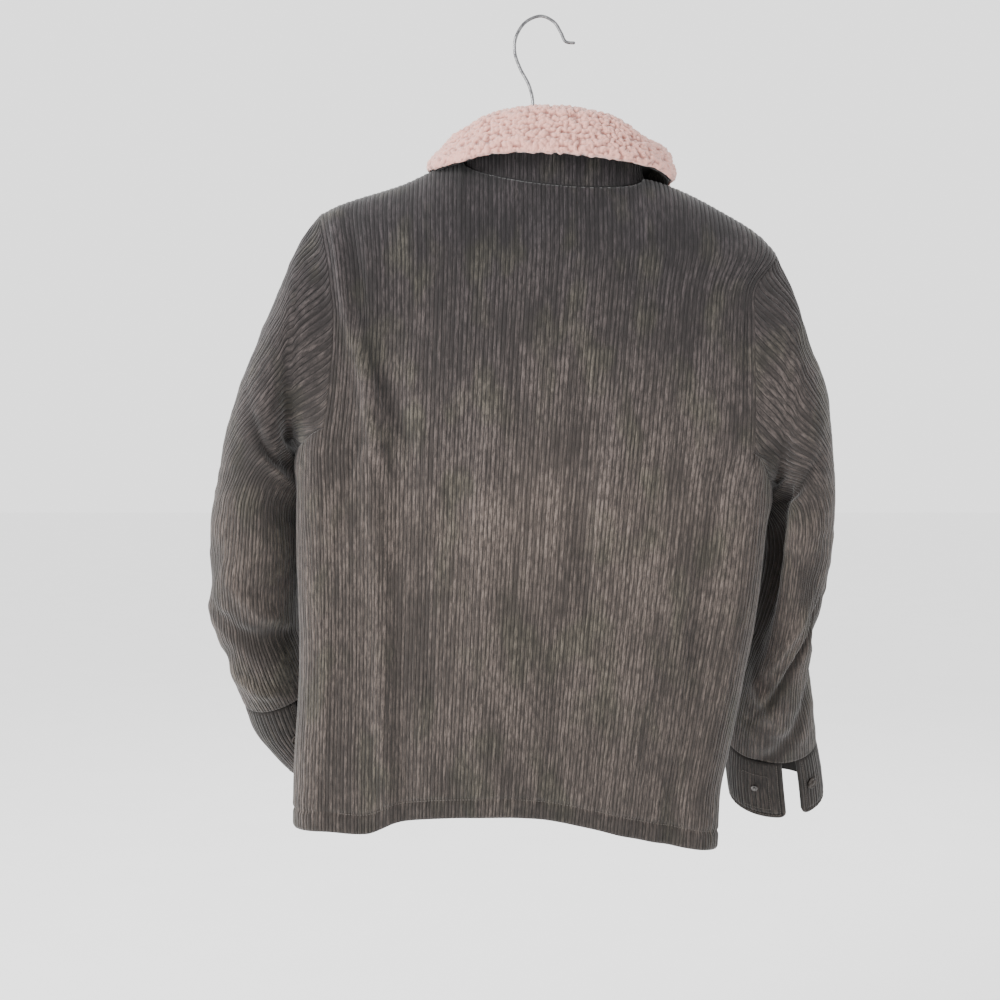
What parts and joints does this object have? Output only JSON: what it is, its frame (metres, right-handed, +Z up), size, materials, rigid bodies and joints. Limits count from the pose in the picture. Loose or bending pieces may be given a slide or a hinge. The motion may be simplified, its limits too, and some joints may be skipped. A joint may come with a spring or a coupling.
{
  "type": "sherpa lined jacket on hanger",
  "caption": "Waist-length corduroy jacket with a turned-down sherpa collar, snap front and snap cuffs, hanging on a hanger by its wire hook.",
  "frame": {"origin": "where a rail touches the inside of the hanger's hook, at its top", "axes": "+Z up, -Y the way the back of the jacket faces, +X towards the wearer's right"},
  "size_m": [0.6781, 0.2399, 0.8708],
  "materials": {
    "corduroy": "ribbed cotton corduroy with a soft sheen",
    "sherpa": "curly fleece",
    "snap_metal": "dark burnished metal",
    "hanger_plastic": "matt black",
    "hook_steel": "polished wire"
  },
  "bodies": {
    "root": {"back": "corduroy", "front_left": "corduroy", "front_right": "corduroy", "sleeve_left": "corduroy", "sleeve_right": "corduroy", "cuff_left": "corduroy", "cuff_right": "corduroy", "collar": "corduroy", "top_collar": "sherpa", "snap_front_1": "snap_metal", "snap_front_2": "snap_metal", "snap_front_3": "snap_metal", "snap_front_4": "snap_metal", "snap_front_5": "snap_metal", "snap_front_6": "snap_metal", "snap_cuff_left": "snap_metal", "stud_cuff_left": "snap_metal", "snap_cuff_right": "snap_metal", "stud_cuff_right": "snap_metal", "hanger": "hanger_plastic", "hanger_hook": "hook_steel"}
  },
  "joints": []
}
